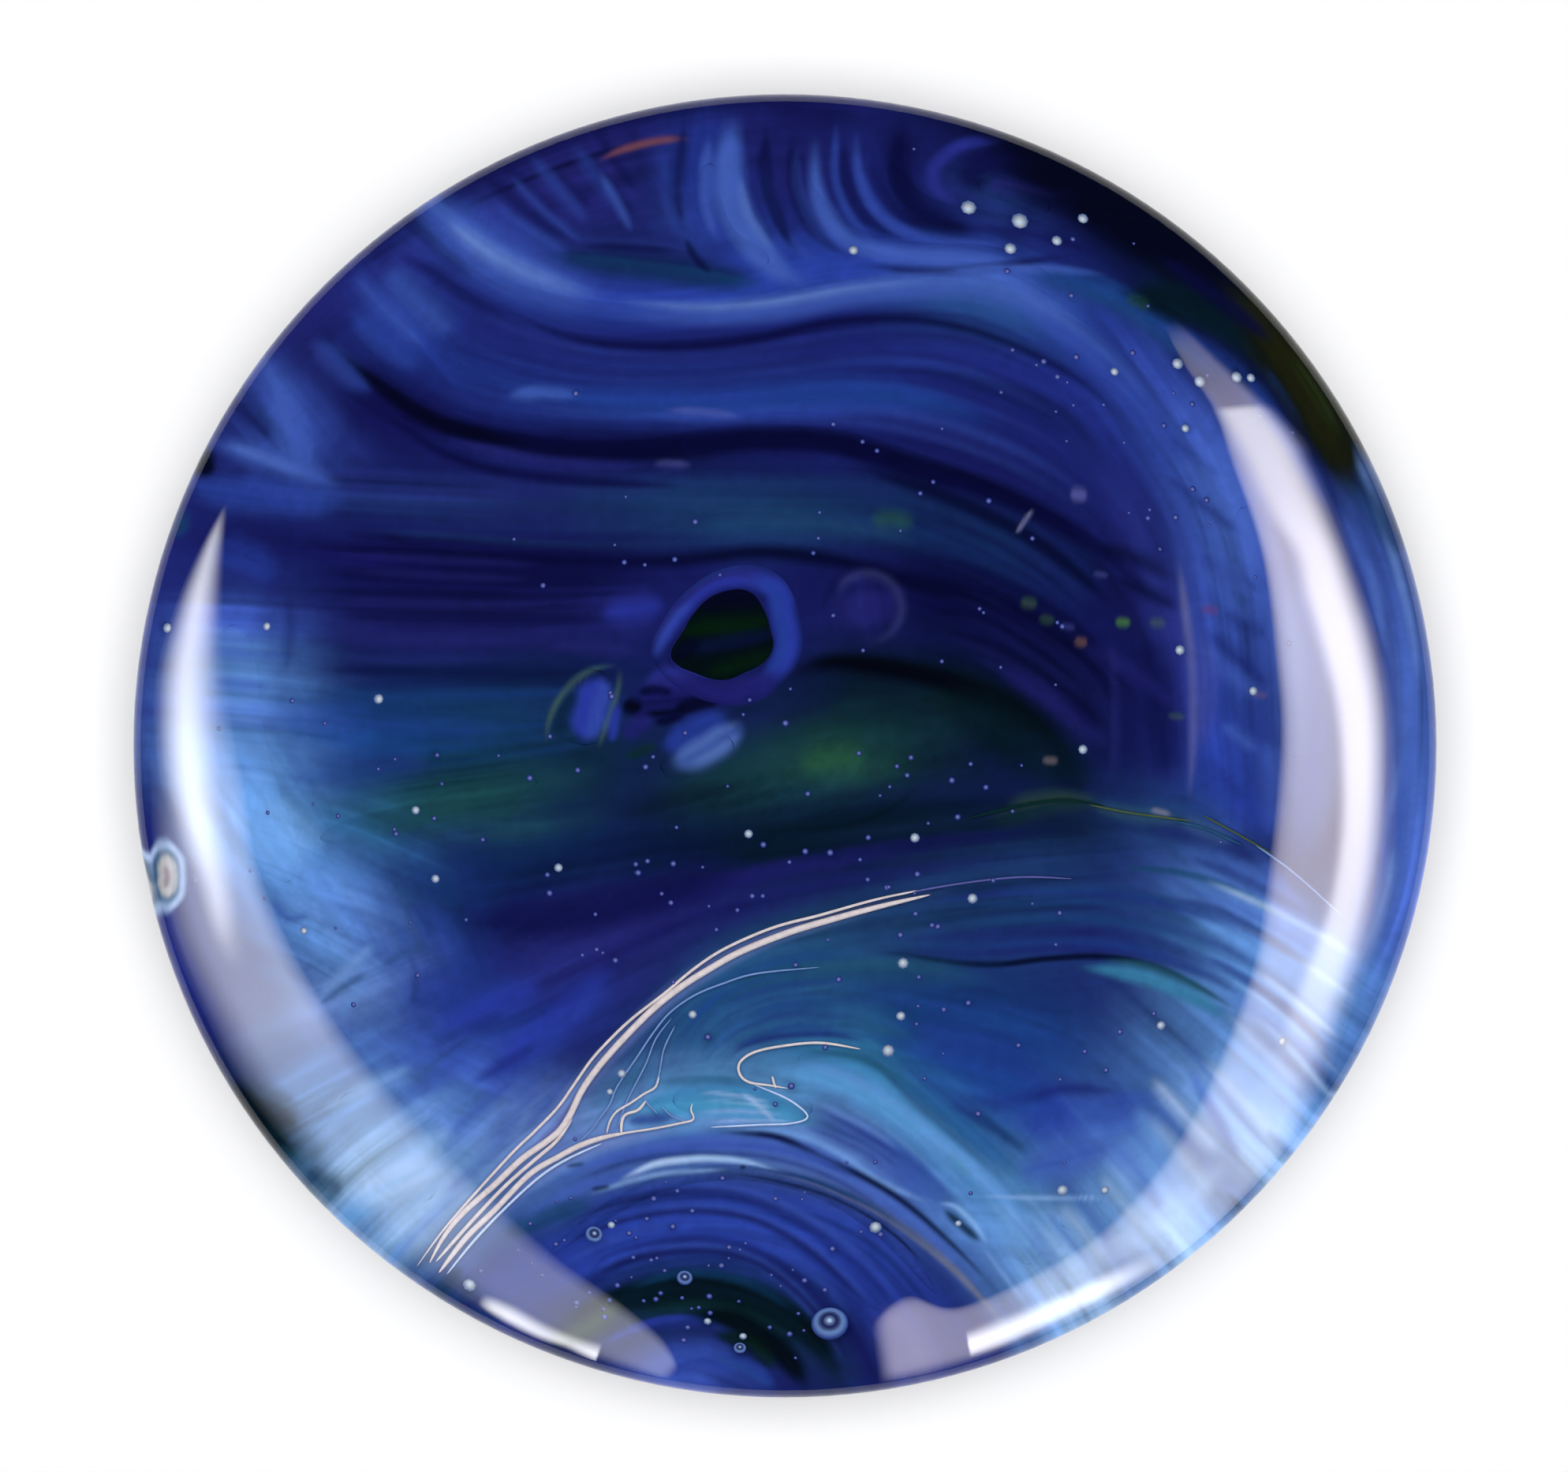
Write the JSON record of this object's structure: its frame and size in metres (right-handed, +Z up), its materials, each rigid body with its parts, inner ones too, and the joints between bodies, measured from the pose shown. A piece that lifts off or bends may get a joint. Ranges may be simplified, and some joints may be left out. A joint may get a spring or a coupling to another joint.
{
  "type": "paperweight",
  "caption": "Flattened dome paperweight of clear glass, cased over a marbled swirl of blue, violet and green glass, with a flat polished foot to stand on.",
  "frame": {"origin": "middle of the flat foot that the weight stands on", "axes": "+Z up through the top of the dome; +X to the right and +Y away from the viewer as the swirl is seen from above"},
  "size_m": [0.08, 0.08, 0.0264],
  "materials": {
    "clear_glass": "polished clear glass",
    "bottle_green_glass": "solid coloured glass, sealed under clear glass",
    "cobalt_glass": "solid coloured glass, sealed under clear glass",
    "indigo_glass": "solid coloured glass, sealed under clear glass",
    "violet_glass": "solid coloured glass, sealed under clear glass",
    "cornflower_glass": "solid coloured glass, sealed under clear glass",
    "sky_glass": "solid coloured glass, sealed under clear glass",
    "aqua_glass": "solid coloured glass, sealed under clear glass",
    "teal_glass": "solid coloured glass, sealed under clear glass",
    "pool_green_glass": "solid coloured glass, sealed under clear glass",
    "olive_glass": "solid coloured glass, sealed under clear glass",
    "cream_glass": "solid coloured glass, sealed under clear glass"
  },
  "bodies": {
    "root": {"clear_dome": "clear_glass", "clear_foot": "clear_glass", "dark_green_base": "bottle_green_glass", "eye_pupil": "bottle_green_glass", "dark_streak": "bottle_green_glass", "inner_arc": "bottle_green_glass", "cobalt_ground": "cobalt_glass", "middle_arc": "cobalt_glass", "loop_heart": "indigo_glass", "indigo_band": "indigo_glass", "violet_band": "violet_glass", "violet_sweep": "violet_glass", "eye_ring": "cornflower_glass", "hanging_loop_outer": "cornflower_glass", "hanging_loop_inner": "cornflower_glass", "cornflower_band": "cornflower_glass", "right_band": "cornflower_glass", "left_petal": "cornflower_glass", "sky_ribbon": "sky_glass", "hanging_loop_middle": "sky_glass", "left_fan": "sky_glass", "lower_left_fan": "sky_glass", "lower_right_fan": "sky_glass", "lower_petal": "sky_glass", "aqua_plume": "aqua_glass", "teal_fold": "teal_glass", "green_streak": "teal_glass", "green_pool": "pool_green_glass", "outer_arc": "olive_glass", "olive_thread": "olive_glass", "cream_thread": "cream_glass", "cream_thread_inner": "cream_glass", "cream_thread_lower": "cream_glass", "cream_hook": "cream_glass"}
  },
  "joints": []
}
